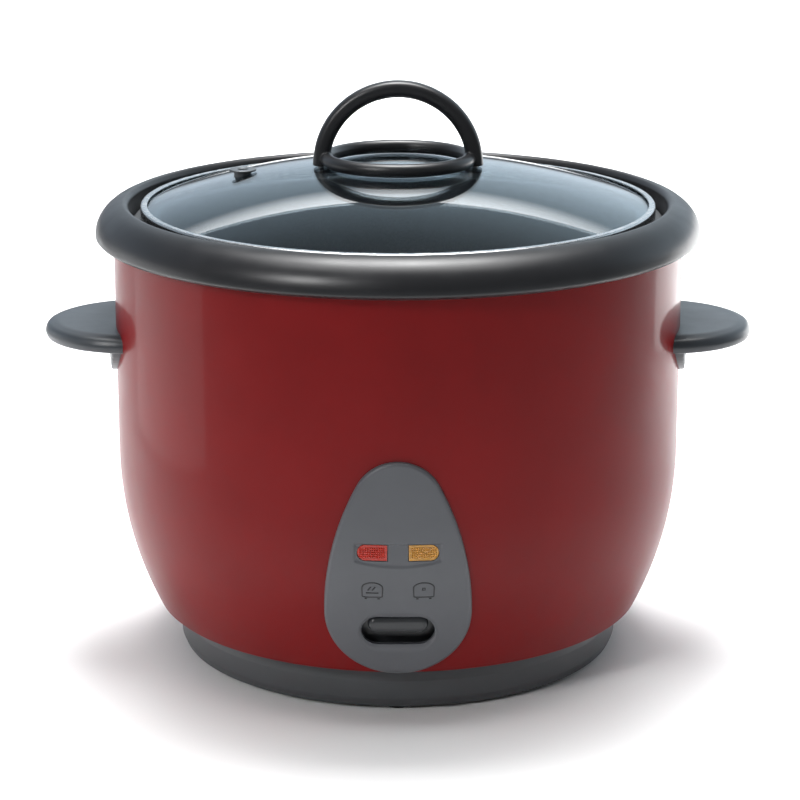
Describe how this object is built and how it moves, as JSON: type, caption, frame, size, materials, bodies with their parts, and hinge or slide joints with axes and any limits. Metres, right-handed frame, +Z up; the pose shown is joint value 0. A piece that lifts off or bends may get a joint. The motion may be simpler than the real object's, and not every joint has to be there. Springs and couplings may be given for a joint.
{
  "type": "rice cooker",
  "caption": "Rice cooker with a bowl-shaped red metal shell, dark rim, glass lid with an arched handle, lift-out pot, front cook lever with lamps, and side handles.",
  "frame": {"origin": "on the surface the cooker stands on, under the centre of its bounding box, which is the axis of the shell", "axes": "+Z up, the front panel faces -Y, and +X runs along the line of the two side handles"},
  "size_m": [0.334, 0.2824, 0.2699],
  "materials": {
    "red_enamel": "glossy baked enamel",
    "dark_plastic": "satin moulded plastic",
    "base_plastic": "satin moulded plastic",
    "handle_plastic": "satin moulded plastic",
    "panel_plastic": "satin moulded plastic",
    "paddle_plastic": "fine satin plastic",
    "black_plastic": "moulded plastic",
    "white_plastic": "heat-resistant moulding",
    "red_lens": "clear tinted lens with a pyramid pattern",
    "amber_lens": "clear tinted lens with a pyramid pattern",
    "glass": "polished tempered glass",
    "lamp_glass": "clear glass",
    "steel": "brushed stainless steel",
    "zinc_steel": "zinc-plated sheet",
    "screw_steel": "bright zinc plate",
    "cast_aluminium": "machined casting",
    "pot_aluminium": "spun aluminium with a dark non-stick inside",
    "liner_aluminium": "bright rolled sheet",
    "element_steel": "oxidised tube",
    "magnet": "sintered ferrite",
    "brass": "brass",
    "rubber": "moulded rubber",
    "lead_sleeve": "glass-braid and silicone sleeve",
    "switch_red": "moulded button"
  },
  "bodies": {
    "cooker": {"outer_shell": "red_enamel", "top_rim": "dark_plastic", "base_ring": "base_plastic", "bottom_cover": "zinc_steel", "cover_screws": "screw_steel", "base_screws": "screw_steel", "rubber_feet": "rubber", "chassis_plate": "zinc_steel", "inner_liner": "liner_aluminium", "plate_legs": "zinc_steel", "leg_screws": "screw_steel", "heating_plate": "cast_aluminium", "heating_element": "element_steel", "element_terminals": "brass", "side_handle_left": "handle_plastic", "side_handle_right": "handle_plastic", "handle_screws": "screw_steel", "control_panel": "panel_plastic", "panel_screws": "screw_steel", "cook_lens": "red_lens", "warm_lens": "amber_lens", "neon_lamps": "lamp_glass", "lamp_holder": "white_plastic", "switch_frame": "zinc_steel", "frame_screws": "screw_steel", "pivot_pin": "steel", "lever_spring": "steel", "sensor_housing": "brass", "sensor_spring": "steel", "microswitch": "black_plastic", "switch_tabs": "brass", "switch_screws": "screw_steel", "thermal_fuse": "white_plastic", "fuse_clip": "zinc_steel", "terminal_block": "white_plastic", "block_screws": "screw_steel", "earth_screw": "brass", "power_inlet": "black_plastic", "inlet_pins": "brass", "inlet_screws": "screw_steel", "leads": "lead_sleeve"},
    "pot": {"inner_pot": "pot_aluminium"},
    "lid": {"glass_lid": "glass", "lid_band": "steel", "vent_collar": "steel", "lid_handle": "dark_plastic", "lid_screws": "screw_steel", "lid_washers": "rubber"},
    "cook_lever": {"lever_arm": "zinc_steel", "lever_paddle": "paddle_plastic"},
    "magnet_rod": {"magnet": "magnet", "pull_rod": "brass"},
    "sensor": {"sensor_cap": "cast_aluminium", "sensor_ferrite": "magnet"},
    "switch_plunger": {"switch_button": "switch_red"}
  },
  "joints": [
    {"name": "pot_lift", "type": "slide", "parent": "cooker", "child": "pot", "axis": [0, 0, 1], "range_m": [0, 0.145]},
    {"name": "lid_lift", "type": "slide", "parent": "pot", "child": "lid", "axis": [0, 0, 1], "range_m": [0, 0.08]},
    {"name": "cook_press", "type": "hinge", "parent": "cooker", "child": "cook_lever", "pos_m": [0, -0.06, 0.0516], "axis": [1, 0, 0], "range_deg": [0, 5.2], "stiffness_Nm_per_rad": 0.08, "springref_deg": -6.88},
    {"name": "magnet_rise", "type": "slide", "parent": "cooker", "child": "magnet_rod", "axis": [0, 0, 1], "range_m": [0, 0.00545]},
    {"name": "sensor_press", "type": "slide", "parent": "cooker", "child": "sensor", "axis": [0, 0, 1], "range_m": [-0.0025, 0], "stiffness_N_per_m": 400, "springref_m": 0.004, "deforming": ["sensor_spring"]},
    {"name": "switch_press", "type": "slide", "parent": "cooker", "child": "switch_plunger", "axis": [0, 0, -1], "range_m": [0, 0.00128]}
  ],
  "couplings": [
    {"joint": "magnet_rise", "follows": "cook_press", "m_per_rad": 0.06},
    {"joint": "switch_press", "follows": "cook_press", "m_per_rad": 0.014}
  ]
}
